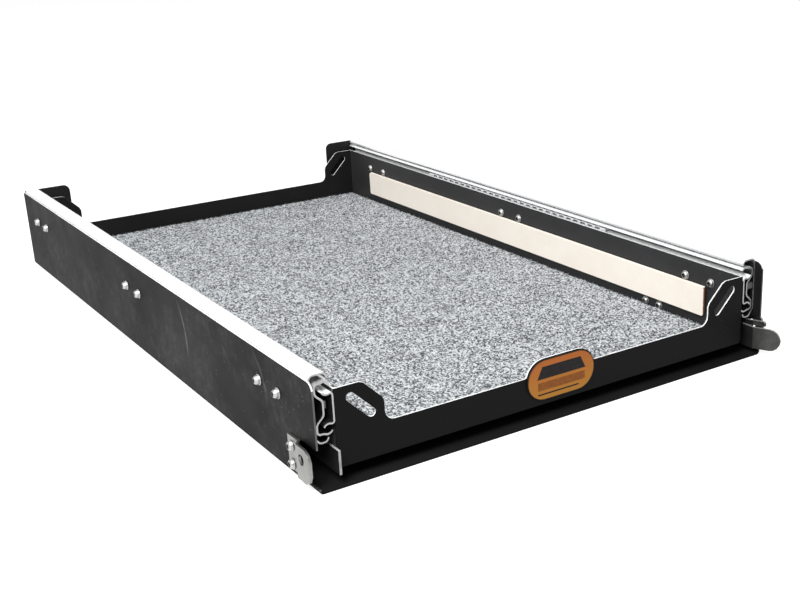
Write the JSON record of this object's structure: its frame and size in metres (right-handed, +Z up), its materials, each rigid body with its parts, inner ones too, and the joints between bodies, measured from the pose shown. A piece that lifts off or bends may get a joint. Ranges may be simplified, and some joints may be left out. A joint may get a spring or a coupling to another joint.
{
  "type": "fridge slide",
  "caption": "Pull-out fridge slide: a carpeted tray on full-extension ball-bearing runners in a low black pan, with a sprung latch lever at the front.",
  "frame": {"origin": "middle of the fixed pan's underside, where it lies on the vehicle floor or deck", "axes": "+X to the right seen from the front, +Y towards the back, +Z up; the tray pulls out along -Y"},
  "size_m": [0.6366, 1.0506, 0.1245],
  "materials": {
    "powder_coat": "satin black powder coat with fine texture, scuffed on the outside of the side plates",
    "zinc_plate": "bright zinc plate on rolled steel",
    "zinc_fastener": "bright zinc plate",
    "bright_steel": "polished ball steel and its bright retainer strip",
    "plain_steel": "dull grey plated spring steel",
    "carpet": "speckled light grey needle-punched carpet",
    "board": "cream faced fibreboard with a brown core at the edges",
    "tape": "black foam mounting tape",
    "badge": "orange gold face in a thin dark rim",
    "rubber": "matt black moulded rubber"
  },
  "bodies": {
    "base": {"base_pan": "powder_coat", "base_rear_panel": "powder_coat", "outer_member_left": "zinc_plate", "outer_member_right": "zinc_plate", "base_screws_left_front": "zinc_fastener", "base_screws_left_middle": "zinc_fastener", "base_screws_left_rear": "zinc_fastener", "base_screws_right_front": "zinc_fastener", "base_screws_right_middle": "zinc_fastener", "base_screws_right_rear": "zinc_fastener", "keeper_bracket_left": "zinc_plate", "keeper_bracket_right": "zinc_plate", "keeper_screws_left": "zinc_fastener", "keeper_screws_right": "zinc_fastener", "rear_buffer_left": "rubber", "rear_buffer_right": "rubber"},
    "tray": {"tray_pan": "powder_coat", "tray_side_left": "powder_coat", "tray_side_right": "powder_coat", "tray_front_wall": "powder_coat", "tray_rear_wall": "powder_coat", "carpet": "carpet", "side_board": "board", "board_tape": "tape", "badge": "badge", "inner_member_left": "zinc_plate", "inner_member_right": "zinc_plate", "tray_screws_left_front": "zinc_fastener", "tray_screws_left_middle": "zinc_fastener", "tray_screws_left_rear": "zinc_fastener", "tray_screws_right_front": "zinc_fastener", "tray_screws_right_middle": "zinc_fastener", "tray_screws_right_rear": "zinc_fastener", "latch_bracket": "zinc_plate", "latch_bracket_screws": "zinc_fastener", "pivot_pin": "zinc_fastener", "guide_plate": "powder_coat", "guide_plate_screws": "zinc_fastener"},
    "middle_left": {"middle_member_left": "zinc_plate", "stop_bumper_left": "rubber"},
    "outer_cages_left": {"outer_cage_left_top": "bright_steel", "outer_cage_left_bottom": "bright_steel"},
    "inner_cages_left": {"inner_cage_left_top": "bright_steel", "inner_cage_left_bottom": "bright_steel"},
    "middle_right": {"middle_member_right": "zinc_plate", "stop_bumper_right": "rubber"},
    "outer_cages_right": {"outer_cage_right_top": "bright_steel", "outer_cage_right_bottom": "bright_steel"},
    "inner_cages_right": {"inner_cage_right_top": "bright_steel", "inner_cage_right_bottom": "bright_steel"},
    "lever": {"latch_lever": "plain_steel", "latch_spring": "zinc_fastener"}
  },
  "joints": [
    {"name": "tray_slide", "type": "slide", "parent": "base", "child": "tray", "axis": [0, -1, 0], "range_m": [0, 1]},
    {"name": "middle_slide_left", "type": "slide", "parent": "base", "child": "middle_left", "axis": [0, -1, 0], "range_m": [0, 0.5]},
    {"name": "outer_cage_roll_left", "type": "slide", "parent": "base", "child": "outer_cages_left", "axis": [0, -1, 0], "range_m": [0, 0.25]},
    {"name": "inner_cage_roll_left", "type": "slide", "parent": "base", "child": "inner_cages_left", "axis": [0, -1, 0], "range_m": [0, 0.75]},
    {"name": "middle_slide_right", "type": "slide", "parent": "base", "child": "middle_right", "axis": [0, -1, 0], "range_m": [0, 0.5]},
    {"name": "outer_cage_roll_right", "type": "slide", "parent": "base", "child": "outer_cages_right", "axis": [0, -1, 0], "range_m": [0, 0.25]},
    {"name": "inner_cage_roll_right", "type": "slide", "parent": "base", "child": "inner_cages_right", "axis": [0, -1, 0], "range_m": [0, 0.75]},
    {"name": "lever_press", "type": "hinge", "parent": "tray", "child": "lever", "pos_m": [0.2965, -0.342, 0.03], "axis": [0, 0, -1], "range_deg": [0, 3], "stiffness_Nm_per_rad": 1, "springref_deg": -17.19}
  ],
  "couplings": [
    {"joint": "middle_slide_left", "follows": "tray_slide", "ratio": 0.5},
    {"joint": "outer_cage_roll_left", "follows": "tray_slide", "ratio": 0.25},
    {"joint": "inner_cage_roll_left", "follows": "tray_slide", "ratio": 0.75},
    {"joint": "middle_slide_right", "follows": "tray_slide", "ratio": 0.5},
    {"joint": "outer_cage_roll_right", "follows": "tray_slide", "ratio": 0.25},
    {"joint": "inner_cage_roll_right", "follows": "tray_slide", "ratio": 0.75}
  ]
}
